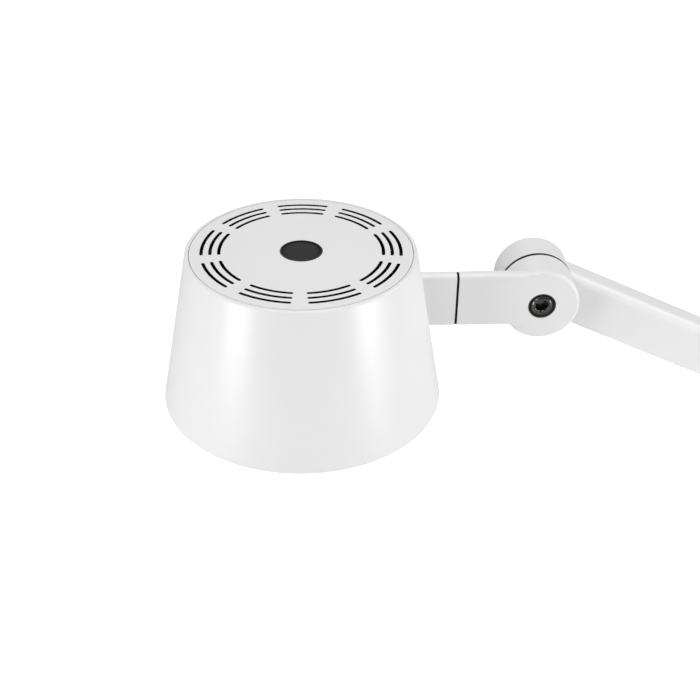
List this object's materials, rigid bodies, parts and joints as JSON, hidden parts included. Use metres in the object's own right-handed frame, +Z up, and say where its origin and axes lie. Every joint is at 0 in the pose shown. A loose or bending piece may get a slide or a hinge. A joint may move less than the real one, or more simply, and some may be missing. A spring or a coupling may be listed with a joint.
{
  "type": "folding led desk lamp",
  "caption": "White desk lamp: cone shade with slotted top plate and push button, swivel neck, arms on bolted disc hinges, round weighted base.",
  "frame": {"origin": "centre of the base's underside, on the table", "axes": "+Z up; the arms stand in the XZ plane with the shade on the -X side; the hinge bolt heads face -Y"},
  "size_m": [0.4569, 0.2, 0.4771],
  "materials": {
    "white_paint": "satin powder coat",
    "white_aluminium": "satin powder coat",
    "white_plastic": "satin",
    "reflector_white": "satin",
    "cast_weight": "cast",
    "dark_rubber": "matt",
    "black_plastic": "matt",
    "button_grey": "satin",
    "button_black": "satin",
    "black_oxide_steel": "black oxide",
    "zinc_steel": "zinc plated",
    "black_aluminium": "black anodised",
    "board_aluminium": "white solder mask",
    "led_chip": "phosphor",
    "opal_diffuser": "frosted opal"
  },
  "bodies": {
    "base": {"base_cover": "white_paint", "base_weight": "cast_weight", "foot_pad": "dark_rubber", "base_screws": "zinc_steel", "power_socket": "black_plastic", "swivel_bush": "black_plastic"},
    "turret": {"turret": "white_aluminium", "swivel_washer": "black_plastic", "swivel_bolt": "zinc_steel", "swivel_spring_washer": "zinc_steel", "shoulder_bolt": "black_oxide_steel", "shoulder_nut": "zinc_steel", "shoulder_spring_washer": "zinc_steel", "shoulder_washer": "black_plastic", "shoulder_cap": "white_plastic"},
    "lower_arm": {"lower_arm": "white_aluminium", "lower_arm_cover": "white_plastic", "lower_arm_wire": "black_plastic", "shoulder_bush": "black_plastic", "elbow_bush": "black_plastic"},
    "upper_arm": {"upper_arm": "white_aluminium", "upper_arm_cover": "white_plastic", "upper_arm_wire": "black_plastic", "elbow_bolt": "black_oxide_steel", "elbow_nut": "zinc_steel", "elbow_spring_washer": "zinc_steel", "elbow_washer": "black_plastic", "elbow_cap": "white_plastic", "head_bolt": "black_oxide_steel", "head_nut": "zinc_steel", "head_spring_washer": "zinc_steel", "head_washer": "black_plastic", "head_cap": "white_plastic"},
    "neck": {"knuckle": "white_aluminium", "head_bush": "black_plastic", "swivel_axle": "zinc_steel", "axle_nut": "zinc_steel", "axle_washer": "zinc_steel", "seam_gasket": "dark_rubber"},
    "head": {"neck_stub": "white_aluminium", "neck_clamp": "zinc_steel", "neck_screws": "zinc_steel", "shade": "white_aluminium", "vent_plate": "white_aluminium", "button_bezel": "button_black", "button_switch": "black_plastic", "heat_sink": "black_aluminium", "heat_sink_screws": "zinc_steel", "led_board": "board_aluminium", "leds": "led_chip", "reflector": "reflector_white", "diffuser": "opal_diffuser", "trim_ring": "white_plastic"},
    "button": {"push_button": "button_grey"}
  },
  "joints": [
    {"name": "base_swivel", "type": "hinge", "parent": "base", "child": "turret", "pos_m": [0, 0, 0.02], "axis": [0, 0, 1], "range_deg": [-170, 170]},
    {"name": "shoulder_tilt", "type": "hinge", "parent": "turret", "child": "lower_arm", "pos_m": [0, 0, 0.062], "axis": [0, 1, 0], "range_deg": [-30, 30]},
    {"name": "elbow_tilt", "type": "hinge", "parent": "lower_arm", "child": "upper_arm", "pos_m": [0.15, 0, 0.32181], "axis": [0, 1, 0], "range_deg": [-30, 60]},
    {"name": "head_tilt", "type": "hinge", "parent": "upper_arm", "child": "neck", "pos_m": [-0.12167, 0, 0.44907], "axis": [0, 1, 0], "range_deg": [-60, 75]},
    {"name": "head_roll", "type": "hinge", "parent": "neck", "child": "head", "pos_m": [-0.15957, -0.0136, 0.45187], "axis": [1, 0, 0], "range_deg": [-90, 90]},
    {"name": "button_press", "type": "slide", "parent": "head", "child": "button", "axis": [0, 0, -1], "range_m": [0, 0.0008], "stiffness_N_per_m": 400, "springref_m": -0.0005}
  ]
}
